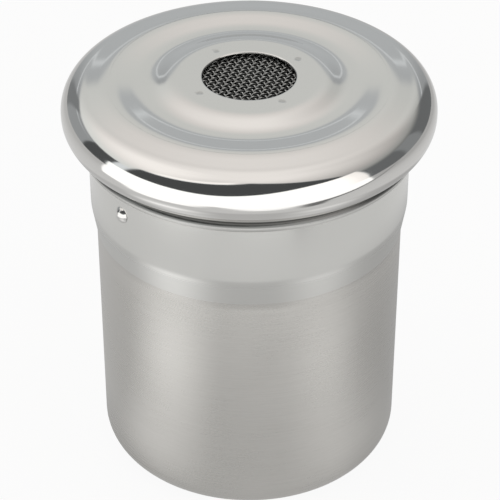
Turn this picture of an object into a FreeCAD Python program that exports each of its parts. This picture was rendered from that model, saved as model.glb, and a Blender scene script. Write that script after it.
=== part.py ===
import FreeCAD, Part
import Sketcher
import math
import os

# A mesh-top powder shaker in stainless steel: a deep-drawn cup with a flared neck
# and a curled lip, and a mushroom lid that is pressed from sheet. The lid has a
# collar inside it with two L-shaped slots, which catch two studs in the neck.
# Millimetres. The Z axis is the axis of the cup, and the cup stands on z = 0.

doc = FreeCAD.newDocument("mesh_shaker")
sheet = doc.addObject("Spreadsheet::Sheet", "Sizes")

SIZES = [
    # cup
    ("cup_radius", 35.0, "outside of the brushed body"),
    ("cup_wall", 0.6, "sheet of the cup"),
    ("cup_corner", 5.9, "outside radius between wall and base"),
    ("neck_length", 15.7, "how far the flare ends below the middle of the curled lip"),
    ("flare_rise", 7.0, "height of the sloping part"),
    ("neck_step", 1.15, "how much wider the neck is than the body, on the radius"),
    ("flare_bend", 0.75, "how far each bend of the flare reaches along the wall"),
    ("lip_height", 81.9, "height of the middle of the curled lip"),
    ("curl_radius", 1.3, "outside radius of the curl"),
    # studs
    ("pin_drop", 6.4, "how far the studs are below the middle of the curled lip"),
    ("pin_angle", 40.0, "direction of the studs, from +X"),
    ("pin_shank", 1.3, "radius of a stud's shank"),
    ("pin_head", 1.9, "radius of its domed head"),
    ("pin_dome", 1.05, "height of the dome"),
    ("pin_reach", 1.1, "how far the shank reaches past the inside of the collar"),
    ("pin_fit", 0.05, "gap round the shank in its hole"),
    # lid pressing
    ("lid_sheet", 0.6, "sheet of the lid"),
    ("lid_seat", 0.3, "gap between the lid and the lip under it"),
    ("rim_overhang", 3.65, "how far the widest part of the lid is past the curled lip"),
    ("rim_top_roll", 6.0, "radius of the roll above the widest part"),
    ("rim_land", 0.4, "straight part between the two rolls"),
    ("fold_gap", 0.45, "gap between the folded edge and the collar's wall"),
    ("fold_width", 0.6, "flat edge that is folded in under the collar's flange"),
    ("outer_fall", 0.12, "how far the outer ring falls from its step to the rim"),
    ("outer_step_foot", 29.1, "radius at the foot of the outer step"),
    ("outer_step_run", 2.0, "width of the outer step"),
    ("outer_step_rise", 1.33, "height of the outer step"),
    ("inner_step_head", 19.8, "radius at the top of the inner step"),
    ("inner_step_run", 1.0, "width of the inner step"),
    ("inner_step_drop", 0.65, "depth of the inner step"),
    ("step_bend", 0.42, "how far each bend at the steps reaches along the sheet"),
    ("hole_radius", 10.4, "hole over the mesh"),
    ("weld_circle", 13.2, "radius of the circle of spot welds"),
    ("weld_spot", 1.1, "radius of one weld mark"),
    ("weld_dent", 0.05, "depth of one weld mark"),
    ("weld_angle", 34.0, "direction of the first weld, from +X"),
    ("weld_count", 4, "spot welds"),
    # collar with the slots
    ("collar_gap", 0.3, "gap between the collar and the neck"),
    ("collar_wall", 0.6, "sheet of the collar"),
    ("collar_depth", 12.4, "depth of the collar below the lip's top"),
    ("flange_reach", 0.4, "how far the flange reaches past the flat of the folded edge"),
    ("flange_gap", 0.12, "gap between the flange and the folded edge"),
    ("flange_bend", 0.5, "how far the flange's bend reaches along the sheet"),
    ("slot_gap", 0.3, "gap between the shank and each side of a slot"),
    ("slot_turn", 28.0, "how far the level part of a slot runs round the collar"),
    # mesh and the ring that holds it
    ("wire_radius", 0.2, "wire of the mesh"),
    ("wire_pitch", 1.25, "distance between wires"),
    ("mesh_radius", 14.2, "outside of the mesh disc"),
    ("mesh_angle", 29.0, "direction of the warp wires, from +X"),
    ("layer_gap", 0.02, "gap between pieces that lie flat on each other"),
    ("ring_sheet", 0.5, "sheet of the retaining ring"),
    ("ring_overlap", 0.5, "how much wider the ring's hole is than the lid's"),
    ("ring_seat", 0.9, "space between the mesh and the ring's joggle"),
    ("ring_joggle", 0.9, "width of the joggle"),
    ("ring_flange", 1.6, "flat flange outside the joggle"),
]

for row, (alias, value, meaning) in enumerate(SIZES, start=1):
    sheet.set("A%d" % row, alias)
    sheet.set("B%d" % row, str(value))
    sheet.set("C%d" % row, meaning)
    sheet.setAlias("B%d" % row, alias)

# Heights and radii that follow from the sizes above. Each is one cell too, so that
# every piece that meets another one reads the same cell.
FOLLOWS = [
    ("neck_radius", "cup_radius + neck_step"),
    ("neck_bore", "neck_radius - cup_wall"),
    ("flare_end", "lip_height - neck_length"),
    ("flare_start", "flare_end - flare_rise"),
    ("curl_middle", "neck_bore + curl_radius"),
    ("lip_top", "lip_height + curl_radius"),
    ("lid_bottom", "lip_top + lid_seat"),
    ("pin_height", "lip_height - pin_drop"),
    ("collar_radius", "neck_bore - collar_gap"),
    ("collar_bore", "collar_radius - collar_wall"),
    ("rim_radius", "curl_middle + curl_radius + rim_overhang"),
    ("fold_edge", "collar_radius + fold_gap"),
    ("low_roll_middle", "fold_edge + fold_width"),
    ("rim_low_roll", "rim_radius - low_roll_middle"),
    ("top_roll_middle", "rim_radius - rim_top_roll"),
    ("rim_low", "lid_bottom + rim_low_roll"),
    ("rim_high", "rim_low + rim_land"),
    ("rim_crown", "rim_high + rim_top_roll"),
    ("foot_height", "rim_crown + outer_fall"),
    ("band_height", "foot_height + outer_step_rise"),
    ("plate_height", "band_height - inner_step_drop"),
    ("plate_under", "plate_height - lid_sheet"),
    ("collar_bottom", "lip_top - collar_depth"),
    ("flange_under", "lid_bottom + lid_sheet + flange_gap"),
    ("flange_top", "flange_under + collar_wall"),
    ("flange_radius", "low_roll_middle + flange_reach"),
    ("slot_half", "pin_shank + slot_gap"),
    ("dome_radius", "(pin_head * pin_head + pin_dome * pin_dome) / (2 * pin_dome)"),
    ("dome_middle", "neck_radius + layer_gap + pin_dome - dome_radius"),
    ("dome_angle", "2 * atan(pin_dome / pin_head) / 1 deg"),
    ("warp_height", "plate_under - layer_gap - wire_radius"),
    ("weft_height", "warp_height - 2 * wire_radius - layer_gap"),
    ("ring_top", "weft_height - wire_radius - layer_gap"),
    ("wire_count", "floor(2 * (mesh_radius - 2 * wire_radius) / wire_pitch) + 1"),
]

for row, (alias, formula) in enumerate(FOLLOWS, start=len(SIZES) + 2):
    sheet.set("A%d" % row, alias)
    sheet.set("B%d" % row, "=" + formula)
    sheet.setAlias("B%d" % row, alias)
doc.recompute()

KNOWN = [row[0] for row in SIZES] + [row[0] for row in FOLLOWS]

# Round stretches are drawn as this many flat strips, so that the part's mesh stays light.
STRIPS = {"corner": 4, "curl": 9, "roll": 4, "dome": 3, "wire": 8, "mesh": 48}


def size(expression):
    """The number that an expression of the sheet's aliases gives now."""
    return float(eval_in_sheet(expression))


def bound(expression):
    """The same expression as the document's other objects have to write it."""
    words = []
    word = ""
    for letter in expression + " ":
        if letter.isalnum() or letter == "_":
            word += letter
            continue
        if word:
            words.append("Sizes." + word if word in KNOWN else word)
        words.append(letter)
        word = ""
    return "".join(words).strip()


def eval_in_sheet(expression):
    value = sheet.evalExpression(bound(expression))
    return getattr(value, "Value", value)


def new_body(label):
    body = doc.addObject("PartDesign::Body", label)
    body.Label = label
    return body


def origin_part(body, role):
    return [f for f in body.Origin.OriginFeatures if f.Role == role][0]


def new_sketch(body, name, role):
    sketch = body.newObject("Sketcher::SketchObject", name)
    sketch.AttachmentSupport = [(origin_part(body, role), "")]
    sketch.MapMode = "FlatFace"
    return sketch


def fix_point(sketch, geometry, end, x, y):
    """Place one point of a sketch by two expressions, measured from its origin."""
    for kind, expression, axis in (("DistanceX", x, -2), ("DistanceY", y, -1)):
        if expression == "0":
            sketch.addConstraint(Sketcher.Constraint("PointOnObject", geometry, end, axis))
            continue
        index = sketch.addConstraint(
            Sketcher.Constraint(kind, -1, 1, geometry, end, size(expression))
        )
        sketch.setExpression("Constraints[%d]" % index, bound(expression))


def bend(x, y, radius, first, last, strips):
    """Corners along a bend that is drawn as flat strips. It has its middle at x and y,
    and it goes round from the angle first to the angle last, both in degrees."""
    corners = []
    for i in range(strips + 1):
        angle = "%s + (%s - %s) * %d / %d" % (first, last, first, i, strips)
        corners.append((
            "%s + (%s) * cos(%s)" % (x, radius, angle),
            "%s + (%s) * sin(%s)" % (y, radius, angle),
        ))
    return corners


def draw_profile(sketch, corners):
    """Draw a closed outline through corners that are given as pairs of expressions."""
    points = [FreeCAD.Vector(size(x), size(y), 0) for x, y in corners]
    for i, point in enumerate(points):
        sketch.addGeometry(Part.LineSegment(points[i - 1], point), False)
    for i, (x, y) in enumerate(corners):
        after = (i + 1) % len(corners)
        sketch.addConstraint(Sketcher.Constraint("Coincident", i, 2, after, 1))
        fix_point(sketch, i, 2, x, y)


def draw_circle(sketch, x, y, radius):
    middle = FreeCAD.Vector(size(x), size(y), 0)
    circle = Part.Circle(middle, FreeCAD.Vector(0, 0, 1), size(radius))
    sketch.addGeometry(circle, False)
    fix_point(sketch, 0, 3, x, y)
    index = sketch.addConstraint(Sketcher.Constraint("Radius", 0, size(radius)))
    sketch.setExpression("Constraints[%d]" % index, bound(radius))


def revolve(body, name, steps):
    """Turn a profile, drawn as radius and height, once round the Z axis."""
    sketch = new_sketch(body, name + "_profile", "XZ_Plane")
    draw_profile(sketch, steps)
    turned = body.newObject("PartDesign::Revolution", name)
    turned.Profile = sketch
    turned.ReferenceAxis = (sketch, ["V_Axis"])
    turned.Angle = 360
    doc.recompute()
    return turned


def soften_rings(body, name, feature, reach, rings):
    """Cut the circular edges at the given radii and heights into bends with a slope."""
    wanted = [(size(r), size(z)) for r, z in rings]
    names = []
    for number, edge in enumerate(feature.Shape.Edges, start=1):
        if not isinstance(edge.Curve, Part.Circle):
            continue
        centre = edge.Curve.Center
        for r, z in wanted:
            if abs(edge.Curve.Radius - r) < 1e-4 and abs(centre.z - z) < 1e-4:
                if math.hypot(centre.x, centre.y) < 1e-4:
                    names.append("Edge%d" % number)
    chamfer = body.newObject("PartDesign::Chamfer", name)
    chamfer.Base = (feature, names)
    chamfer.Size = size(reach)
    chamfer.setExpression("Size", bound(reach))
    doc.recompute()
    return chamfer


def must_remove(feature, before):
    """A cut that points away from the solid removes nothing and says nothing."""
    if feature.Shape.Volume > before - 1e-6:
        raise RuntimeError(feature.Name + " removes nothing")


# The cup, drawn from one disc: flat base, round corner, straight body, a neck that is
# a little wider, and an edge that is curled outwards for three quarters of a turn.
cup = new_body("cup_shell")
inner_radius = "cup_radius - cup_wall"
corner_middle = ("cup_radius - cup_corner", "cup_corner")
lip_middle = ("curl_middle", "lip_height")
drawn = revolve(cup, "drawn_cup", [
    ("0", "0"),
    *bend(*corner_middle, "cup_corner", "-90", "0", STRIPS["corner"]),
    ("cup_radius", "flare_start"),
    ("neck_radius", "flare_end"),
    *bend(*lip_middle, "curl_radius - cup_wall", "180", "-90", STRIPS["curl"]),
    *bend(*lip_middle, "curl_radius", "-90", "180", STRIPS["curl"]),
    ("neck_bore", "flare_end"),
    (inner_radius, "flare_start"),
    *bend(*corner_middle, "cup_corner - cup_wall", "0", "-90", STRIPS["corner"]),
    ("0", "cup_wall"),
])
flared = soften_rings(cup, "flare_bends", drawn, "flare_bend", [
    ("cup_radius", "flare_start"),
    ("neck_radius", "flare_end"),
    (inner_radius, "flare_start"),
    ("neck_bore", "flare_end"),
])

# One cut straight across the neck makes both stud holes.
hole_sketch = new_sketch(cup, "stud_hole_outline", "YZ_Plane")
draw_circle(hole_sketch, "0", "pin_height", "pin_shank + pin_fit")
holes = cup.newObject("PartDesign::Pocket", "stud_holes")
holes.Profile = hole_sketch
holes.Type = 1
holes.Midplane = True
doc.recompute()
must_remove(holes, flared.Shape.Volume)
cup.setExpression("Placement.Rotation.Angle", bound("pin_angle"))
cup.Placement.Rotation.Axis = FreeCAD.Vector(0, 0, 1)


def make_stud(label, turn):
    """A stud with a domed head outside the neck and a shank that ends inside the
    collar. It is welded in its hole, and turn says which side of the neck it is on."""
    body = new_body(label)
    sketch = new_sketch(body, label + "_profile", "XZ_Plane")
    draw_profile(sketch, [
        ("collar_bore - pin_reach", "pin_height"),
        *bend("dome_middle", "pin_height", "dome_radius", "0", "dome_angle", STRIPS["dome"]),
        ("neck_radius + layer_gap", "pin_height + pin_shank"),
        ("collar_bore - pin_reach", "pin_height + pin_shank"),
    ])
    turned = body.newObject("PartDesign::Revolution", label + "_turned")
    turned.Profile = sketch
    turned.ReferenceAxis = (sketch, ["Edge2"])
    turned.Angle = 360
    doc.recompute()
    body.setExpression("Placement.Rotation.Angle", bound("pin_angle + %d" % turn))
    body.Placement.Rotation.Axis = FreeCAD.Vector(0, 0, 1)
    return body


stud_left = make_stud("bayonet_stud_left", 180)
stud_right = make_stud("bayonet_stud_right", 0)

# The lid's top, one pressing: plate with the hole, a step up to a band, a step down to
# the outer ring, and a hollow rim that rolls over, down and in under the flange.
cap = new_body("lid_cap")
top_roll = ("top_roll_middle", "rim_high")
low_roll = ("low_roll_middle", "rim_low")
inner_step_foot = "inner_step_head - inner_step_run"
outer_step_head = "outer_step_foot - outer_step_run"
pressed = revolve(cap, "pressed_lid", [
    ("hole_radius", "plate_height"),
    ("hole_radius", "plate_under"),
    (inner_step_foot, "plate_under"),
    ("inner_step_head", "band_height - lid_sheet"),
    (outer_step_head, "band_height - lid_sheet"),
    ("outer_step_foot", "foot_height - lid_sheet"),
    *bend(*top_roll, "rim_top_roll - lid_sheet", "90", "0", STRIPS["roll"]),
    *bend(*low_roll, "rim_low_roll - lid_sheet", "0", "-90", STRIPS["roll"]),
    ("fold_edge", "lid_bottom + lid_sheet"),
    ("fold_edge", "lid_bottom"),
    *bend(*low_roll, "rim_low_roll", "-90", "0", STRIPS["roll"]),
    *bend(*top_roll, "rim_top_roll", "0", "90", STRIPS["roll"]),
    ("outer_step_foot", "foot_height"),
    (outer_step_head, "band_height"),
    ("inner_step_head", "band_height"),
    (inner_step_foot, "plate_height"),
])
stepped = soften_rings(cap, "step_bends", pressed, "step_bend", [
    ("outer_step_foot", "foot_height"),
    (outer_step_head, "band_height"),
    ("inner_step_head", "band_height"),
    (inner_step_foot, "plate_height"),
    ("outer_step_foot", "foot_height - lid_sheet"),
    (outer_step_head, "band_height - lid_sheet"),
    ("inner_step_head", "band_height - lid_sheet"),
    (inner_step_foot, "plate_under"),
])

# The spot welds that hold the ring under the plate leave shallow round dents on it.
dent_sketch = new_sketch(cap, "weld_outline", "XY_Plane")
dent_sketch.setExpression("AttachmentOffset.Base.z", bound("plate_height - weld_dent"))
draw_circle(dent_sketch, "weld_circle", "0", "weld_spot")
dent = cap.newObject("PartDesign::Pocket", "weld_dent")
dent.Profile = dent_sketch
dent.Reversed = True
dent.Length = size("2 * weld_dent")
dent.setExpression("Length", bound("2 * weld_dent"))
doc.recompute()
must_remove(dent, stepped.Shape.Volume)
dents = cap.newObject("PartDesign::PolarPattern", "weld_dents")
dents.Originals = [dent]
dents.Axis = (origin_part(cap, "Z_Axis"), [""])
dents.Angle = 360
dents.Occurrences = int(size("weld_count"))
dents.setExpression("Occurrences", bound("weld_count"))
cap.Tip = dents
doc.recompute()
cap.setExpression("Placement.Rotation.Angle", bound("weld_angle"))
cap.Placement.Rotation.Axis = FreeCAD.Vector(0, 0, 1)

# The collar goes down inside the neck, and the cap's rim is folded round its flange.
collar = new_body("lid_collar")
rolled = revolve(collar, "flanged_ring", [
    ("collar_bore", "collar_bottom"),
    ("collar_radius", "collar_bottom"),
    ("collar_radius", "flange_under"),
    ("flange_radius", "flange_under"),
    ("flange_radius", "flange_top"),
    ("collar_bore", "flange_top"),
])
bent = soften_rings(collar, "flange_bend", rolled, "flange_bend", [
    ("collar_bore", "flange_top"),
])

# The upright leg of each slot runs from the collar's lower edge to the height of the
# studs. The cut goes right across, so that it makes the legs on both sides.
leg_sketch = new_sketch(collar, "slot_leg_outline", "YZ_Plane")
draw_profile(leg_sketch, [
    ("0 - slot_half", "collar_bottom - collar_wall"),
    ("slot_half", "collar_bottom - collar_wall"),
    ("slot_half", "pin_height + slot_half"),
    ("0 - slot_half", "pin_height + slot_half"),
])
legs = collar.newObject("PartDesign::Pocket", "slot_legs")
legs.Profile = leg_sketch
legs.Type = 1
legs.Midplane = True
doc.recompute()
must_remove(legs, bent.Shape.Volume)

# The level leg runs round the collar from there. The lid is turned clockwise to lock
# it, so the stud travels the other way along the slot.
level_sketch = new_sketch(collar, "slot_level_outline", "XZ_Plane")
draw_profile(level_sketch, [
    ("collar_bore - collar_wall", "pin_height - slot_half"),
    ("collar_radius + collar_gap / 2", "pin_height - slot_half"),
    ("collar_radius + collar_gap / 2", "pin_height + slot_half"),
    ("collar_bore - collar_wall", "pin_height + slot_half"),
])
level = collar.newObject("PartDesign::Groove", "slot_level")
level.Profile = level_sketch
level.ReferenceAxis = (level_sketch, ["V_Axis"])
level.Angle = size("slot_turn")
level.setExpression("Angle", bound("slot_turn"))
doc.recompute()
must_remove(level, legs.Shape.Volume)
levels = collar.newObject("PartDesign::PolarPattern", "slot_levels")
levels.Originals = [level]
levels.Axis = (origin_part(collar, "Z_Axis"), [""])
levels.Angle = 360
levels.Occurrences = 2
collar.Tip = levels
doc.recompute()
must_remove(levels, level.Shape.Volume)
collar.setExpression("Placement.Rotation.Angle", bound("pin_angle"))
collar.Placement.Rotation.Axis = FreeCAD.Vector(0, 0, 1)

# The mesh is plain-woven wire. Here its two sets of wires lie straight, one on the
# other, with the thickness of the weave.
disc = doc.addObject("Part::Prism", "mesh_outline")
disc.Polygon = STRIPS["mesh"]
disc.setExpression("Circumradius", bound("mesh_radius"))
disc.setExpression("Height", bound("plate_height - ring_top"))
disc.setExpression("Placement.Base.z", bound("ring_top"))


def make_wires(label, height, turn):
    """Parallel wires in one layer, cut off at the edge of the mesh disc."""
    rows = new_body(label + "_rows")
    rows.AllowCompound = True
    sketch = new_sketch(rows, label + "_section", "YZ_Plane")
    first_wire = "0 - wire_pitch * (wire_count - 1) / 2"
    corners = bend(first_wire, height, "wire_radius", "0", "360", STRIPS["wire"])
    draw_profile(sketch, corners[1:])
    wire = rows.newObject("PartDesign::Pad", label + "_wire")
    wire.Profile = sketch
    wire.Midplane = True
    wire.Length = size("3 * mesh_radius")
    wire.setExpression("Length", bound("3 * mesh_radius"))
    doc.recompute()
    pattern = rows.newObject("PartDesign::LinearPattern", label + "_pattern")
    pattern.Originals = [wire]
    pattern.Direction = (origin_part(rows, "Y_Axis"), [""])
    pattern.Length = size("wire_pitch * (wire_count - 1)")
    pattern.setExpression("Length", bound("wire_pitch * (wire_count - 1)"))
    pattern.Occurrences = int(size("wire_count"))
    pattern.setExpression("Occurrences", bound("wire_count"))
    rows.Tip = pattern
    rows.setExpression("Placement.Rotation.Angle", bound("mesh_angle + %d" % turn))
    rows.Placement.Rotation.Axis = FreeCAD.Vector(0, 0, 1)
    doc.recompute()
    cut = doc.addObject("Part::Common", label)
    cut.Base = rows
    cut.Tool = disc
    cut.Label = label
    doc.recompute()
    return cut


warp = make_wires("mesh_warp_wires", "warp_height", 0)
weft = make_wires("mesh_weft_wires", "weft_height", 90)

# The ring under the mesh is joggled, so that its flange reaches up past the edge of
# the mesh and lies against the plate.
ring = new_body("mesh_retaining_ring")
revolve(ring, "joggled_ring", [
    ("hole_radius + ring_overlap", "ring_top - ring_sheet"),
    ("mesh_radius + ring_seat", "ring_top - ring_sheet"),
    ("mesh_radius + ring_seat + ring_joggle", "plate_under - layer_gap - ring_sheet"),
    ("mesh_radius + ring_seat + ring_joggle + ring_flange",
     "plate_under - layer_gap - ring_sheet"),
    ("mesh_radius + ring_seat + ring_joggle + ring_flange", "plate_under - layer_gap"),
    ("mesh_radius + ring_seat + ring_joggle - ring_sheet / 2", "plate_under - layer_gap"),
    ("mesh_radius + ring_seat - ring_sheet / 2", "ring_top"),
    ("hole_radius + ring_overlap", "ring_top"),
])

PIECES = [cup, stud_left, stud_right, cap, collar, warp, weft, ring]

doc.recompute()
for item in doc.Objects:
    if "Invalid" in item.State or "Error" in item.State:
        raise RuntimeError("%s is %s" % (item.Name, item.State))
for piece in PIECES:
    if piece.Shape.isNull() or not piece.Shape.isValid():
        raise RuntimeError(piece.Label + " has no valid shape")

os.makedirs("parts", exist_ok=True)
for piece in PIECES:
    piece.Shape.exportStep("parts/%s.step" % piece.Label)
    box = piece.Shape.BoundBox
    print("%-22s solids %2d  volume %9.2f  z %6.2f to %6.2f  r %6.2f" % (
        piece.Label, len(piece.Shape.Solids), piece.Shape.Volume, box.ZMin, box.ZMax,
        max(box.XMax, box.YMax),
    ))
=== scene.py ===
import math

import bpy
from mathutils import Matrix, Vector


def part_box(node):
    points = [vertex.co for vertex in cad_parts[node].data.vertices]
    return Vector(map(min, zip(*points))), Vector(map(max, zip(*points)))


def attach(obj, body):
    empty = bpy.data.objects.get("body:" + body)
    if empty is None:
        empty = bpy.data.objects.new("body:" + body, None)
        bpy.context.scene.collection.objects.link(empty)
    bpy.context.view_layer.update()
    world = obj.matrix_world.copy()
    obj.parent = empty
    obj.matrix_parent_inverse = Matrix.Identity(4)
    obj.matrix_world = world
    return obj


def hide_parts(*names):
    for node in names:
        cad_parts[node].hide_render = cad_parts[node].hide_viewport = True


# A mesh-top powder shaker: brushed and polished stainless steel, on a pale floor.
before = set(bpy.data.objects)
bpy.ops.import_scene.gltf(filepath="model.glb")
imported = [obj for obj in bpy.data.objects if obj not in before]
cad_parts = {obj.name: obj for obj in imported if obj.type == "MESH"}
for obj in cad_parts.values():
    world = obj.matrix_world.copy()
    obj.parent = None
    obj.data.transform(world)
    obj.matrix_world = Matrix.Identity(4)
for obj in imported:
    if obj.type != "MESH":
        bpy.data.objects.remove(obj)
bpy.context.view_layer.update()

# Sizes are in millimetres and heights are from the floor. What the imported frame
# already knows is read from it.
MM = 0.001
SHEET = 0.6
LIP_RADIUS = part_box("cup_shell")[1].x / MM
LIP_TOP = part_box("cup_shell")[1].z / MM
RIM_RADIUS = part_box("lid_cap")[1].x / MM
LID_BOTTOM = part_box("lid_cap")[0].z / MM
LID_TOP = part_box("lid_cap")[1].z / MM
COLLAR_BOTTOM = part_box("lid_collar")[0].z / MM
COLLAR_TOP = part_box("lid_collar")[1].z / MM
FLANGE_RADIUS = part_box("lid_collar")[1].y / MM
MESH_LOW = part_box("mesh_weft_wires")[0].z / MM
MESH_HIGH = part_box("mesh_warp_wires")[1].z / MM
RING_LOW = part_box("mesh_retaining_ring")[0].z / MM
RING_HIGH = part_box("mesh_retaining_ring")[1].z / MM
RING_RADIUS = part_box("mesh_retaining_ring")[1].x / MM

BODY_RADIUS = 35.0
BODY_CORNER = 5.9
FLARE_START = 59.2
FLARE_END = 66.2
FLARE_BEND = 9.0
NECK_RADIUS = 36.15
CURL = 1.3
POLISH_LINE = 61.8

STUD_HEIGHT = 75.5
STUD_ANGLE = 40.0
STUD_HEAD = 1.9
STUD_DOME = 1.05
STUD_SHANK = 1.3
STUD_FIT = 0.05
STUD_GAP = 0.02
STUD_REACH = 1.1

ROLL_HIGH = 6.0
ROLL_LOW = 5.5
RIM_START = 35.9
RIM_DROP = 1.45
PLATE_EDGE = 17.2
GROOVE_START = 21.4
GROOVE_END = 25.0
GROOVE_DEPTH = 1.25
CREST_START = 30.1
CREST_END = 32.0
CREST_RISE = 0.72
CREST_FALL = 0.05
RIM_LIFT = 0.2
RIM_DIP = 0.6
PLATE_ROUND = 10.0
CREST_ROUND = 16.0
FOLD_ROUND = 0.1
HOLE_RADIUS = 10.4
HOLE_EDGE = 0.28
WELD_CIRCLE = 13.2
WELD_ANGLE = 34.0
WELD_SPOT = 1.1

COLLAR_RADIUS = 35.25
COLLAR_EDGE = 0.12
SLOT_HALF = 1.6
SLOT_TURN = 28.0
CUTTER_DEPTH = 3.0
CUTTER_SPARE = 2.0

RING_GAUGE = 0.5
RING_LEDGE = 0.5
RING_EDGE = 0.1
JOGGLE = 0.9

WIRE_RADIUS = 0.2
WIRE_PITCH = 1.25
WIRE_ROWS = 11
MESH_RADIUS = 14.2
MESH_ANGLE = 29.0

GROOVE_TOP = LID_TOP - GROOVE_DEPTH
CREST_TOP = GROOVE_TOP + CREST_RISE
RIM_TOP = LID_TOP - RIM_DROP

# How finely the pieces are divided: faces round a turned piece, and degrees of an arc
# to each of its points, for the lid's waves and for roundings under a millimetre.
TURN_STEPS = 256
RING_STEPS = 160
STUD_STEPS = 40
DOME_STEPS = 9
CRIMP_STEPS = 6
WIRE_SIDES = 8
WAVE_STEP = 2.0
SMALL_STEP = 15.0

DEGREES = 180 / math.pi


# Modelling

def begin():
    """Leave nothing selected, so that the next operator acts on the new piece alone."""
    if bpy.context.mode != "OBJECT":
        bpy.ops.object.mode_set(mode="OBJECT")
    bpy.ops.object.select_all(action="DESELECT")


def take(piece):
    begin()
    piece.select_set(True)
    bpy.context.view_layer.objects.active = piece


def rounded(corners, step=7.0, support=0.2):
    """Points along a run of corners (radius, height, rounding). A rounding is an arc, with
    one more point on each straight beside it, which keeps the shading of the straight."""
    points = []
    last = len(corners) - 1
    for i, corner in enumerate(corners):
        here = Vector(corner[:2])
        if i in (0, last) or len(corner) < 3:
            points.append(here)
            continue
        before = (Vector(corners[i - 1][:2]) - here)
        after = (Vector(corners[i + 1][:2]) - here)
        room = (before.length, after.length)
        before.normalize()
        after.normalize()
        bend = math.pi - before.angle(after)
        reach = corner[2] * math.tan(bend / 2)
        middle = here + (before + after).normalized() * (corner[2] / math.cos(bend / 2))
        start = here + before * reach - middle
        turn = math.atan2(start.cross(here + after * reach - middle),
                          start.dot(here + after * reach - middle))
        count = max(2, round(math.degrees(bend) / (step if corner[2] > 1 else SMALL_STEP)))
        if room[0] > 2 * (reach + support):
            points.append(here + before * (reach + support))
        for k in range(count + 1):
            points.append(middle + Matrix.Rotation(turn * k / count, 2) @ start)
        if room[1] > 2 * (reach + support):
            points.append(here + after * (reach + support))
    tidy = [points[0]]
    for point in points[1:]:
        if (point - tidy[-1]).length > 1e-4:
            tidy.append(point)
    return tidy


def turned(name, outline, closed=False, steps=TURN_STEPS):
    """A piece turned on the Z axis: one point is drawn out along the outline and spun."""
    begin()
    bpy.ops.mesh.primitive_plane_add(size=MM)
    piece = bpy.context.object
    piece.name = name
    bpy.ops.object.mode_set(mode="EDIT")
    bpy.ops.mesh.merge(type="CENTER")
    bpy.ops.transform.translate(value=(outline[0].x * MM, 0, outline[0].y * MM))
    path = outline + outline[:1] if closed else outline
    for here, there in zip(path, path[1:]):
        move = (there - here) * MM
        bpy.ops.mesh.extrude_region_move(TRANSFORM_OT_translate={"value": (move.x, 0, move.y)})
    bpy.ops.mesh.select_all(action="SELECT")
    bpy.ops.mesh.spin(steps=steps, angle=2 * math.pi, center=(0, 0, 0), axis=(0, 0, 1))
    bpy.ops.mesh.select_all(action="SELECT")
    bpy.ops.mesh.remove_doubles(threshold=0.004 * MM)
    bpy.ops.mesh.normals_make_consistent(inside=False)
    smooth(piece)
    return piece


def smooth(piece, angle=40.0):
    take(piece)
    bpy.ops.object.shade_smooth_by_angle(angle=math.radians(angle))


def settle(piece):
    """Put the piece's place into its mesh."""
    take(piece)
    bpy.ops.object.transform_apply(location=True, rotation=True, scale=True)


def cut(piece, cutter):
    take(piece)
    modifier = piece.modifiers.new("cut", "BOOLEAN")
    modifier.object = cutter
    modifier.solver = "MANIFOLD"
    bpy.ops.object.modifier_apply(modifier=modifier.name)
    bpy.data.objects.remove(cutter)


def joined(name, parts):
    take(parts[0])
    for part in parts[1:]:
        part.select_set(True)
    bpy.ops.object.join()
    parts[0].name = name
    return parts[0]


def rod(radius, length, height, angle, reach, sides=32):
    """A round bar that points outwards from the Z axis, for a hole in a wall."""
    begin()
    bpy.ops.mesh.primitive_cylinder_add(
        vertices=sides, radius=radius * MM, depth=length * MM,
        location=(reach * MM * math.cos(math.radians(angle)),
                  reach * MM * math.sin(math.radians(angle)), height * MM),
        rotation=(0, math.pi / 2, math.radians(angle)),
    )
    bar = bpy.context.object
    settle(bar)
    return bar


# Camera

def aim_camera():
    data = bpy.data.cameras.new("camera")
    data.lens = 145.66
    data.sensor_width = 36.0
    data.shift_x = 0.0017
    data.clip_start = 0.01
    data.clip_end = 20.0
    camera = bpy.data.objects.new("camera", data)
    bpy.context.scene.collection.objects.link(camera)
    camera.location = (0, -0.3865, 0.3217)
    look = Vector((0, 0, 0.04986)) - camera.location
    camera.rotation_euler = look.to_track_quat("-Z", "Y").to_euler()
    bpy.context.scene.camera = camera


# Pieces of the cup

def make_cup():
    """One drawn shell, with its edge curled outwards and two holes for the studs."""
    inside = BODY_RADIUS - SHEET
    neck_inside = NECK_RADIUS - SHEET
    curl_low = LIP_TOP - 2 * CURL
    hollow = CURL - SHEET
    outline = rounded([
        (0, 0),
        (BODY_RADIUS, 0, BODY_CORNER),
        (BODY_RADIUS, FLARE_START, FLARE_BEND),
        (NECK_RADIUS, FLARE_END, FLARE_BEND),
        (NECK_RADIUS, LIP_TOP - SHEET, hollow),
        (NECK_RADIUS + 2 * hollow, LIP_TOP - SHEET, hollow),
        (NECK_RADIUS + 2 * hollow, curl_low + SHEET, hollow),
        (neck_inside + CURL, curl_low + SHEET),
        (neck_inside + CURL, curl_low),
        (LIP_RADIUS, curl_low, CURL),
        (LIP_RADIUS, LIP_TOP, CURL),
        (neck_inside, LIP_TOP, CURL),
        (neck_inside, FLARE_END, FLARE_BEND),
        (inside, FLARE_START, FLARE_BEND),
        (inside, SHEET, BODY_CORNER - SHEET),
        (0, SHEET),
    ])
    cup = turned("drawn_cup", outline)
    for side in (0, 180):
        cut(cup, rod(STUD_SHANK + STUD_FIT, 6, STUD_HEIGHT, STUD_ANGLE + side, NECK_RADIUS))
    smooth(cup)
    return cup


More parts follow.
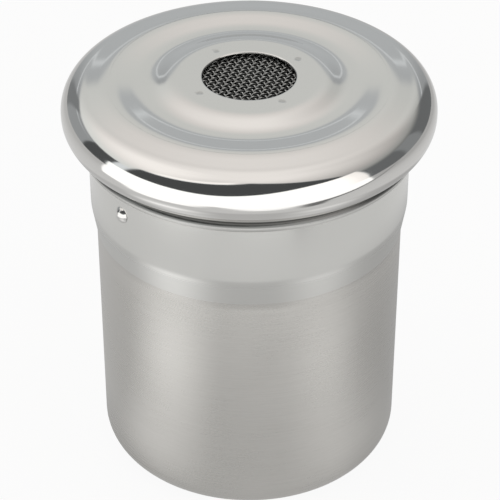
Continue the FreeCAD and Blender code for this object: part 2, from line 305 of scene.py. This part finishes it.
def make_stud(name, angle):
    """A domed head outside the neck on a shank that ends inside the collar."""
    dome_radius = (STUD_HEAD ** 2 + STUD_DOME ** 2) / (2 * STUD_DOME)
    dome_turn = math.asin(STUD_HEAD / dome_radius)
    dome = [
        Vector((dome_radius * math.sin(dome_turn * k / DOME_STEPS),
                STUD_DOME - dome_radius * (1 - math.cos(dome_turn * k / DOME_STEPS))))
        for k in range(DOME_STEPS + 1)
    ]
    shank_end = -(NECK_RADIUS - COLLAR_RADIUS + SHEET + STUD_REACH)
    shank = rounded([
        (STUD_HEAD, 0.0),
        (STUD_SHANK, 0.0),
        (STUD_SHANK, shank_end, 0.25),
        (0, shank_end),
    ])
    stud = turned(name, dome + shank[1:], steps=STUD_STEPS)
    stud.rotation_euler = (0, math.pi / 2, math.radians(angle))
    reach = (NECK_RADIUS + STUD_GAP) * MM
    stud.location = (reach * math.cos(math.radians(angle)),
                     reach * math.sin(math.radians(angle)), STUD_HEIGHT * MM)
    settle(stud)
    return stud


# Pieces of the lid

def make_lid_cap():
    """One pressing: a raised plate, a shallow groove round it, a low crest, and the rim
    that falls away from the crest and is rolled under."""
    fold_radius = RIM_RADIUS - ROLL_LOW - SHEET
    roll_top = RIM_TOP - RIM_DIP
    waves = [
        (PLATE_EDGE, LID_TOP, PLATE_ROUND),
        (GROOVE_START, GROOVE_TOP, PLATE_ROUND),
        (GROOVE_END, GROOVE_TOP, CREST_ROUND),
        (CREST_START, CREST_TOP, CREST_ROUND),
        (CREST_END, CREST_TOP - CREST_FALL, CREST_ROUND),
        (RIM_START, RIM_TOP + RIM_LIFT, CREST_ROUND),
    ]
    top = [
        (HOLE_RADIUS, LID_TOP - SHEET / 2),
        (HOLE_RADIUS, LID_TOP, HOLE_EDGE),
        *waves,
        (RIM_RADIUS, roll_top, ROLL_HIGH),
        (RIM_RADIUS, LID_BOTTOM, ROLL_LOW),
        (fold_radius, LID_BOTTOM, FOLD_ROUND),
        (fold_radius, LID_BOTTOM + SHEET / 2),
    ]
    under = [
        (fold_radius, LID_BOTTOM + SHEET, FOLD_ROUND),
        (RIM_RADIUS - SHEET, LID_BOTTOM + SHEET, ROLL_LOW - SHEET),
        (RIM_RADIUS - SHEET, roll_top - SHEET, ROLL_HIGH - SHEET),
        *[(radius, height - SHEET, bend) for radius, height, bend in reversed(waves)],
        (HOLE_RADIUS, LID_TOP - SHEET, HOLE_EDGE),
        (HOLE_RADIUS, LID_TOP - SHEET / 2),
    ]
    return turned("pressed_cap", rounded(top + under, step=WAVE_STEP)[:-1], closed=True)


def slot_cutter(angle):
    """An upright leg from the lower edge to the stud, and a level leg round the collar."""
    leg_height = STUD_HEIGHT - COLLAR_BOTTOM + CUTTER_SPARE
    leg_middle = STUD_HEIGHT - leg_height / 2
    reach = COLLAR_RADIUS - SHEET / 2
    begin()
    bpy.ops.mesh.primitive_cube_add(size=1, location=(reach * MM, 0, leg_middle * MM))
    leg = bpy.context.object
    leg.scale = (CUTTER_DEPTH * MM, 2 * SLOT_HALF * MM, leg_height * MM)
    settle(leg)
    leg.rotation_euler.z = math.radians(angle)
    settle(leg)
    begin()
    bpy.ops.mesh.primitive_plane_add(size=1, rotation=(math.pi / 2, 0, 0),
                                     location=(reach * MM, 0, STUD_HEIGHT * MM))
    level = bpy.context.object
    level.scale = (CUTTER_DEPTH * MM, 2 * SLOT_HALF * MM, 1)
    settle(level)
    bpy.ops.object.mode_set(mode="EDIT")
    bpy.ops.mesh.select_all(action="SELECT")
    bpy.ops.mesh.spin(steps=24, angle=math.radians(SLOT_TURN), center=(0, 0, 0), axis=(0, 0, 1))
    bpy.ops.object.mode_set(mode="OBJECT")
    # The spin may turn either way, so a leg that runs backwards is brought forward.
    low = min((level.matrix_world @ v.co).y for v in level.data.vertices)
    level.rotation_euler.z = math.radians(angle + (SLOT_TURN if low < -MM else 0))
    settle(level)
    take(level)
    bpy.ops.object.mode_set(mode="EDIT")
    bpy.ops.mesh.select_all(action="SELECT")
    bpy.ops.mesh.remove_doubles(threshold=0.001 * MM)
    bpy.ops.mesh.normals_make_consistent(inside=False)
    bpy.ops.object.mode_set(mode="OBJECT")
    ends = [
        rod(SLOT_HALF, CUTTER_DEPTH, STUD_HEIGHT, angle + turn, reach)
        for turn in (0, SLOT_TURN)
    ]
    return [leg, level, *ends]


def make_collar():
    """The band that goes down inside the neck, with a flange that the rim is folded round."""
    bore = COLLAR_RADIUS - SHEET
    under = COLLAR_TOP - SHEET
    outline = rounded([
        (bore, COLLAR_BOTTOM + SHEET),
        (bore, COLLAR_BOTTOM, COLLAR_EDGE),
        (COLLAR_RADIUS, COLLAR_BOTTOM, COLLAR_EDGE),
        (COLLAR_RADIUS, under, 0.3),
        (FLANGE_RADIUS, under, COLLAR_EDGE),
        (FLANGE_RADIUS, COLLAR_TOP, COLLAR_EDGE),
        (bore, COLLAR_TOP, 0.9),
        (bore, COLLAR_BOTTOM + SHEET),
    ])
    collar = turned("slotted_collar", outline[:-1], closed=True)
    for side in (0, 180):
        for part in slot_cutter(STUD_ANGLE + side):
            cut(collar, part)
    smooth(collar)
    return collar


def make_ring():
    """The joggled ring under the mesh."""
    joggle_in = MESH_RADIUS + JOGGLE
    joggle_out = joggle_in + JOGGLE
    bore = HOLE_RADIUS + RING_LEDGE
    middle = RING_GAUGE / 2
    outline = rounded([
        (bore, RING_LOW + middle),
        (bore, RING_LOW, RING_EDGE),
        (joggle_in, RING_LOW, 0.4),
        (joggle_out, RING_HIGH - RING_GAUGE, 0.3),
        (RING_RADIUS, RING_HIGH - RING_GAUGE, RING_EDGE),
        (RING_RADIUS, RING_HIGH, RING_EDGE),
        (joggle_out - middle, RING_HIGH, 0.4),
        (joggle_in - middle, RING_LOW + RING_GAUGE, 0.3),
        (bore, RING_LOW + RING_GAUGE, RING_EDGE),
        (bore, RING_LOW + middle),
    ])
    return turned("joggled_ring", outline[:-1], closed=True, steps=RING_STEPS)


def make_crimped_wire():
    """One long wire that rises and falls once over every two wires that it crosses."""
    run = 2 * (WIRE_ROWS + 2)
    swing = (MESH_HIGH - MESH_LOW) / 2 - WIRE_RADIUS
    middle = (MESH_HIGH + MESH_LOW) / 2
    begin()
    bpy.ops.mesh.primitive_circle_add(
        vertices=WIRE_SIDES, radius=WIRE_RADIUS * MM, fill_type="NGON",
        location=(-run / 2 * WIRE_PITCH * MM, 0, (middle + swing) * MM),
        rotation=(0, math.pi / 2, 0),
    )
    wire = bpy.context.object
    settle(wire)
    bpy.ops.object.mode_set(mode="EDIT")
    bpy.ops.mesh.select_all(action="SELECT")
    heights = [
        swing * math.cos(math.pi * k / CRIMP_STEPS)
        for k in range(run * CRIMP_STEPS + 1)
    ]
    for low, high in zip(heights, heights[1:]):
        bpy.ops.mesh.extrude_region_move(TRANSFORM_OT_translate={
            "value": (WIRE_PITCH / CRIMP_STEPS * MM, 0, (high - low) * MM),
        })
    bpy.ops.mesh.select_all(action="SELECT")
    bpy.ops.mesh.normals_make_consistent(inside=False)
    bpy.ops.object.mode_set(mode="OBJECT")
    return wire


def weave(name, wire, angle, offset):
    """Copies of the wire side by side, each one pitch out of step with the last, and
    trimmed to the round of the mesh."""
    wires = []
    for row in range(-WIRE_ROWS, WIRE_ROWS + 1):
        copy = wire.copy()
        copy.data = wire.data.copy()
        bpy.context.scene.collection.objects.link(copy)
        copy.location = ((row + offset) % 2 * WIRE_PITCH * MM, row * WIRE_PITCH * MM, 0)
        settle(copy)
        half = math.sqrt(MESH_RADIUS ** 2 - (row * WIRE_PITCH) ** 2)
        bpy.ops.object.mode_set(mode="EDIT")
        for side in (-1, 1):
            bpy.ops.mesh.select_all(action="SELECT")
            bpy.ops.mesh.bisect(
                plane_co=(side * half * MM, 0, 0), plane_no=(side, 0, 0),
                use_fill=True, clear_outer=True,
            )
        bpy.ops.object.mode_set(mode="OBJECT")
        wires.append(copy)
    cloth = joined(name, wires)
    cloth.rotation_euler.z = math.radians(angle)
    settle(cloth)
    smooth(cloth, 60)
    return cloth


# Materials

class Number:
    """A number that changes over a surface. Sums on it add Math nodes."""

    def __init__(self, nodes, socket):
        self.nodes = nodes
        self.socket = socket

    def maths(self, operation, *others, first=None):
        values = [self, *others] if first is None else [first, self, *others]
        node = self.nodes.add("Math", {"operation": operation}, dict(enumerate(values)))
        return Number(self.nodes, node.outputs[0])

    def __add__(self, other):
        return self.maths("ADD", other)

    def __radd__(self, other):
        return self.maths("ADD", first=other)

    def __sub__(self, other):
        return self.maths("SUBTRACT", other)

    def __rsub__(self, other):
        return self.maths("SUBTRACT", first=other)

    def __mul__(self, other):
        return self.maths("MULTIPLY", other)

    def __rmul__(self, other):
        return self.maths("MULTIPLY", first=other)

    def __pow__(self, other):
        return self.maths("POWER", other)

    def __abs__(self):
        return self.maths("ABSOLUTE")

    def __neg__(self):
        return self * -1

    def least(self, other):
        return self.maths("MINIMUM", other)

    def most(self, other):
        return self.maths("MAXIMUM", other)

    def rise(self, low, high):
        """0 below low, 1 above high, and an even curve between them."""
        node = self.nodes.add("MapRange", {"interpolation_type": "SMOOTHSTEP"}, {
            "Value": self, "From Min": low, "From Max": high,
        })
        return Number(self.nodes, node.outputs[0])

    def between(self, low, high, soft):
        """1 between two values and 0 outside them, with soft edges."""
        return self.rise(low - soft, low + soft) * (1 - self.rise(high - soft, high + soft))


class Nodes:
    """The nodes of one material or of the world."""

    def __init__(self, owner):
        owner.use_nodes = True
        self.tree = owner.node_tree
        self.tree.nodes.clear()

    def add(self, kind, settings=None, sockets=None):
        """A node of one kind, with its settings and then the values or links of its sockets."""
        node = self.tree.nodes.new("ShaderNode" + kind)
        for name, value in (settings or {}).items():
            setattr(node, name, value)
        for name, value in (sockets or {}).items():
            value = getattr(value, "socket", value)
            if isinstance(value, bpy.types.NodeSocket):
                self.tree.links.new(value, node.inputs[name])
            else:
                node.inputs[name].default_value = value
        return node

    def place(self, scale=(1, 1, 1), turn=0.0):
        """Object coordinates, turned round Z and then scaled."""
        found = self.add("TexCoord").outputs["Object"]
        node = self.add("Mapping", {}, {
            "Vector": found, "Rotation": (0, 0, math.radians(-turn)), "Scale": scale,
        })
        return node.outputs[0]

    def parts(self, vector):
        """A vector's three numbers."""
        node = self.add("SeparateXYZ", {}, {0: vector})
        return [Number(self, node.outputs[k]) for k in range(3)]

    def in_mm(self, turn=0.0):
        """Object coordinates in millimetres, as three numbers."""
        return self.parts(self.place((1 / MM, 1 / MM, 1 / MM), turn))

    def noise(self, vector, scale, detail=2.0, roughness=0.5):
        node = self.add("TexNoise", {}, {
            "Vector": vector, "Scale": scale, "Detail": detail, "Roughness": roughness,
        })
        return Number(self, node.outputs[0])

    def blend(self, share, first, second):
        """Two colours mixed by a share."""
        node = self.add("Mix", {"data_type": "RGBA"}, {0: share, 6: first, 7: second})
        return node.outputs[2]

    def bump(self, height, depth, strength=1.0, below=None):
        """A normal from a height of 0 to 1, which is depth millimetres deep."""
        sockets = {"Height": height, "Distance": depth * MM, "Strength": strength}
        if below is not None:
            sockets["Normal"] = below
        return self.add("Bump", {}, sockets).outputs[0]

    def finish(self, colour, roughness, normal=None, anisotropy=0.0, turn=0.0):
        """The metal itself."""
        sockets = {
            "Base Color": colour, "Metallic": 1.0, "Roughness": roughness,
            "Anisotropic": anisotropy, "Anisotropic Rotation": turn,
        }
        if normal is not None:
            sockets["Normal"] = normal
        metal = self.add("BsdfPrincipled", {}, sockets)
        self.add("OutputMaterial", {}, {"Surface": metal.outputs[0]})


def material(name):
    made = bpy.data.materials.new(name)
    return made, Nodes(made)


def rgb(red, green, blue):
    return (red, green, blue, 1.0)


def brushed_steel():
    """Fine lines that run round the cup, some longer and deeper than others."""
    made, n = material("brushed_steel")
    fine = n.noise(n.place((1, 1, 30)), 420, 2.0, 0.6)
    long_lines = n.noise(n.place((1, 1, 50)), 60, 1.0)
    cloudy = n.noise(n.place(), 45, 2.0)
    lines = fine * 0.6 + long_lines * 0.4
    shade = (lines * 0.7 + cloudy * 0.3).rise(0.3, 0.7)
    colour = n.blend(shade, rgb(0.61, 0.595, 0.565), rgb(0.67, 0.655, 0.625))
    roughness = 0.22 + 0.06 * lines + 0.06 * cloudy
    n.finish(colour, roughness, n.bump(lines, 0.0008), 0.6, 0.25)
    return made


def polished_neck():
    """Polished, but duller on the curled lip, with painted shade in the gap that the rim covers.
    """
    made, n = material("polished_neck_steel")
    height = n.in_mm()[2]
    lines = n.noise(n.place((1, 1, 40)), 120, 2.0)
    cloudy = n.noise(n.place(), 60, 2.0)
    curl = height.rise(LIP_TOP - 3.1, LIP_TOP - 2.4)
    # Painted shade: the top of the curled lip, in the gap under the rim, is painted dark.
    gap = height.rise(LIP_TOP - 1.5, LIP_TOP - 0.9)
    flare = height.rise(FLARE_END + 1, FLARE_END - 2)
    polish = n.blend(cloudy, rgb(0.68, 0.675, 0.65), rgb(0.73, 0.725, 0.70))
    painted_gap_shade = rgb(0.17, 0.17, 0.165)
    roughness = 0.12 + 0.08 * lines + 0.16 * curl + 0.14 * flare
    n.finish(n.blend(gap, polish, painted_gap_shade), roughness, n.bump(lines, 0.0008))
    return made


def polished_lid():
    """Buffed sheet: almost a mirror, a little uneven, with the marks of the spot welds."""
    made, n = material("polished_lid_steel")
    waves = n.noise(n.place(), 55, 1.0)
    buffing = n.noise(n.place((1, 1, 4)), 900, 3.0, 0.6)
    # Four welds lie on two lines across the lid, so one sum finds the nearest.
    x, y = n.in_mm(WELD_ANGLE)[:2]
    along = abs(x).most(abs(y)) - WELD_CIRCLE
    across = abs(x).least(abs(y))
    off = (along * along + across * across) ** 0.5
    smear = off + 1.6 * (n.noise(n.place(), 700, 1.0) - 0.5)
    weld = 1 - smear.rise(WELD_SPOT * 0.3, WELD_SPOT)
    bright, burnt = rgb(0.70, 0.69, 0.67), rgb(0.36, 0.35, 0.33)
    roughness = 0.05 + 0.05 * buffing + 0.15 * weld
    uneven = n.bump(waves, 0.04)
    n.finish(n.blend(weld * 0.45, bright, burnt), roughness, n.bump(1 - weld, 0.02, 1.0, uneven))
    return made


def plain_steel():
    """Rolled sheet as it comes, for what is out of sight."""
    made, n = material("plain_steel")
    cloudy = n.noise(n.place(), 80, 3.0)
    colour = n.blend(cloudy, rgb(0.54, 0.53, 0.51), rgb(0.64, 0.63, 0.61))
    n.finish(colour, 0.22 + 0.12 * cloudy, n.bump(cloudy, 0.01))
    return made


def stud_steel():
    """A polished head with small marks."""
    made, n = material("polished_stud_steel")
    cloudy = n.noise(n.place(), 400, 2.0)
    colour = n.blend(cloudy, rgb(0.64, 0.63, 0.61), rgb(0.72, 0.71, 0.69))
    n.finish(colour, 0.12 + 0.08 * cloudy, n.bump(cloudy, 0.01))
    return made


def wire_steel():
    """Drawn wire, dull and dark, with a painted highlight on its crests where it crosses over
    another.
    """
    made, n = material("drawn_wire_steel")
    # Painted highlight: the crests of the wires are painted bright, and the rest is given a dark
    # colour.
    proud = n.in_mm()[2].rise(MESH_HIGH - 0.11, MESH_HIGH - 0.01)
    grime = n.noise(n.place(), 900, 2.0)
    dark_wire_colour, painted_crest_highlight = rgb(0.27, 0.275, 0.27), rgb(0.72, 0.72, 0.69)
    n.finish(n.blend(proud * (0.6 + 0.5 * grime), dark_wire_colour, painted_crest_highlight), 0.38 + 0.16 * grime)
    return made


def dress(piece, body, slot_name, nodes, *finishes):
    """Give a piece its finishes and its place in the assembly."""
    piece.data.materials.clear()
    for finish in finishes:
        piece.data.materials.append(finish)
    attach(piece, body)
    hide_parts(*nodes)


# Studio

def over(level, where, strength):
    """Set the level to a strength where a mask is 1."""
    return level + where * (strength - level)


def studio_light():
    """A pale studio: a bright ceiling, a white screen on each side of the camera with
    a dark room above them, and grey walls at the sides and behind."""
    world = bpy.data.worlds.new("studio")
    bpy.context.scene.world = world
    n = Nodes(world)
    x, y, z = n.parts(n.add("TexCoord").outputs["Generated"])
    # Both in degrees. A side of 0 is straight towards the camera, and 180 is behind the object.
    height = z.maths("ARCSINE") * DEGREES
    side = x.maths("ARCTAN2", -y) * DEGREES
    left = side.rise(10, -10)
    behind = abs(side).rise(130, 172)

    ceiling = 1.08
    right_wall = 0.3 + 0.75 * height.rise(15, 85)
    left_wall = 0.95 + 0.27 * height.rise(30, 60) * side.between(-150, -60, 30)
    back_wall = 0.74 + 0.34 * height.rise(25, 70)
    level = over(over(right_wall, left, left_wall), behind, back_wall)
    level = over(level, height.rise(66, 84), ceiling)

    # Below the walls stand darker things, with a pale edge along those at the back.
    low = height.rise(29, 26)
    back_things = 0.4 + 0.17 * abs(side).rise(152, 170)
    edge = abs(side).rise(104, 150) * height.between(21.9, 23.1, 0.5)
    level = over(level, abs(side).rise(104, 112) * low, back_things)
    level = over(level, edge, 0.85)
    level = over(level, side.between(62, 150, 2) * height.rise(34, 24), 0.18)
    for start, end, soft, strength in (
        (100, 118, 2, 0.3),
        (-152, -139, 2, 0.26),
        (-110, -86, 1.5, 0.1),
    ):
        level = over(level, side.between(start, end, soft) * low, strength)

    # The dark room, with a lamp along the left part of its upper edge.
    room_strength = 0.085
    lamp_strength = 1.3
    left_edge = 70 + 0.4 * side
    right_edge = 70 - 0.0078 * side * side
    room_top = over(right_edge, left, left_edge)
    room = side.between(-76, 62, 2) * (room_top - height).rise(-3, 3)
    lamp = side.between(-70, -15, 6) * (height - room_top).between(0, 9, 2)
    level = over(level, room, room_strength)
    level = over(level, lamp, lamp_strength)

    screen_strength = 1.6 - 0.35 * side.rise(52, 70)
    screen_top = 13 + 23 * side.rise(-30, 45)
    screens = side.between(-88, 71, 1.2) * (screen_top - height).rise(-1, 1)
    level = over(level, screens, screen_strength)

    # The walls are a little warm, and the dark things a little cool. What the camera
    # sees straight on is white.
    warm = (height.rise(30, 45) * (1 - room) + screens * side.rise(0, 60)).least(1)
    cool = (low + room).least(1) * (1 - screens)
    colour = n.blend(warm, rgb(0.985, 1, 0.98), rgb(1.035, 1, 0.975))
    colour = n.blend(cool, colour, rgb(0.96, 1, 1.03))
    seen = Number(n, n.add("LightPath").outputs["Is Camera Ray"])
    colour = n.blend(seen, colour, rgb(1, 1, 1))
    light = n.add("Background", {}, {"Color": colour, "Strength": over(level, seen, 1.0)})
    n.add("OutputWorld", {}, {"Surface": light.outputs[0]})


def lay_floor():
    """A pale table. In the metal it shows as a grey sheet round the object, with the
    white screens standing on it in front."""
    begin()
    bpy.ops.mesh.primitive_plane_add(size=6.0)
    floor = bpy.context.object
    floor.name = "floor"
    made, n = material("pale_floor")
    x, y = n.in_mm()[:2]
    side = x.maths("ARCTAN2", -y) * DEGREES
    away = (x * x + y * y) ** 0.5

    # The sheet, with two pale patches near the cup and a ring of shade round its base.
    patches = 0.66 * side.between(-70, -32, 18) + 0.36 * side.between(30, 64, 16)
    fading = 0.4 + 0.65 * away.between(80, 100, 12)
    near = 0.58 + patches * fading - 0.1 * side.rise(64, 100)
    round_base = 0.5 + 0.08 * abs(side).rise(60, 40)
    level = 0.74 - 0.22 * away.rise(80, 600) * (0.6 + 0.4 * side.rise(-20, 90))
    level = over(level, away.rise(130, 104), near)
    level = over(level, away.rise(48, 38), round_base)

    # How far a place is towards the front screen, and towards the left one.
    ahead = 0.134 * x - y - 8
    leftward = -0.766 * x - 0.643 * y
    white = ahead.rise(158, 166).most(leftward.rise(154, 162)) * side.between(-88, 71, 1)
    seam = ahead.between(135, 158, 3) * x.rise(65, 95)
    level = over(level, seam, 0.2)
    level = over(level, white, 1.5)

    # The camera sees a white floor that keeps the object's shadow.
    paths = n.add("LightPath")
    camera = Number(n, paths.outputs["Is Camera Ray"])
    mirrored = (Number(n, paths.outputs["Is Glossy Ray"])
                + Number(n, paths.outputs["Is Transmission Ray"])).least(1)
    glow = n.add("Emission", {}, {"Color": over(level, camera, 1.0)})
    matt = n.add("BsdfDiffuse", {}, {"Color": rgb(0.9, 0.9, 0.9)})
    share = over(mirrored, camera, 0.92)
    mixed = n.add("MixShader", {}, {0: share, 1: matt.outputs[0], 2: glow.outputs[0]})
    n.add("OutputMaterial", {}, {"Surface": mixed.outputs[0]})
    floor.data.materials.append(made)


# The shaker

aim_camera()

cup = make_cup()
brushed, neck = brushed_steel(), polished_neck()
dress(cup, "cup", "brushed_body", ["cup_shell"], brushed, neck)
for face in cup.data.polygons:
    face.material_index = 1 if face.center.z > POLISH_LINE * MM else 0

stud_finish = stud_steel()
for name, turn in (("bayonet_stud_left", 180), ("bayonet_stud_right", 0)):
    stud = make_stud("domed_" + name, STUD_ANGLE + turn)
    dress(stud, "cup", "polished_stud", [name], stud_finish)

dress(make_lid_cap(), "lid", "polished_lid", ["lid_cap"], polished_lid())
plain = plain_steel()
dress(make_collar(), "lid", "plain_steel", ["lid_collar"], plain)
dress(make_ring(), "lid", "plain_steel", ["mesh_retaining_ring"], plain)

wire = make_crimped_wire()
wire_finish = wire_steel()
warp = weave("woven_warp", wire, MESH_ANGLE, 0)
weft = weave("woven_weft", wire, MESH_ANGLE + 90, 1)
dress(warp, "lid", "mesh_wire", ["mesh_warp_wires"], wire_finish)
dress(weft, "lid", "mesh_wire", ["mesh_weft_wires"], wire_finish)
bpy.data.objects.remove(wire)

studio_light()
lay_floor()
bpy.context.scene.view_settings.view_transform = "Standard"
